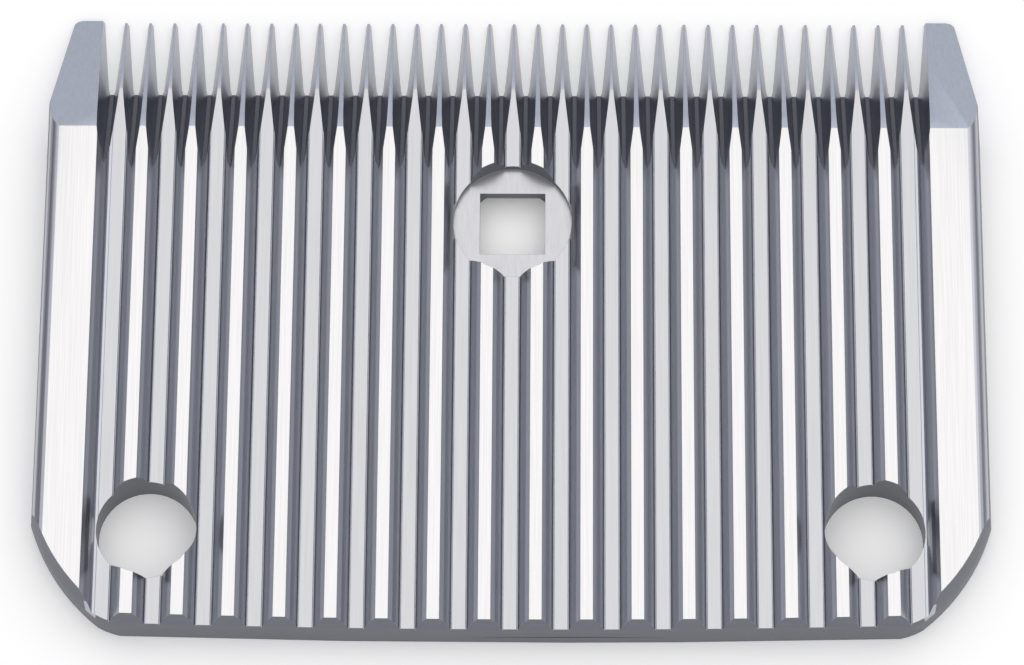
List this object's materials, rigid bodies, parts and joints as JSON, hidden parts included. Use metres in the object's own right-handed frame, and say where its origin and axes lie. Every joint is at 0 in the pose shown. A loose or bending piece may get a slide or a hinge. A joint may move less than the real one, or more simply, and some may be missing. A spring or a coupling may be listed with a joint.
{
  "type": "clipper comb blade",
  "caption": "Ridged steel comb plate of an animal clipper, with ground teeth, screw holes at the rear and a square hole in a round sinking for the centre bolt.",
  "frame": {"origin": "middle of the bounding box at the flat cutting face, which is Z = 0", "axes": "+X along the row of teeth, +Y from the heel towards the tooth tips, +Z out of the ridged face"},
  "size_m": [0.078, 0.0544, 0.0044],
  "materials": {
    "ground_steel": "ground, satin along the ridges, matte on the tooth slope"
  },
  "bodies": {
    "root": {"comb_plate": "ground_steel"}
  },
  "joints": []
}
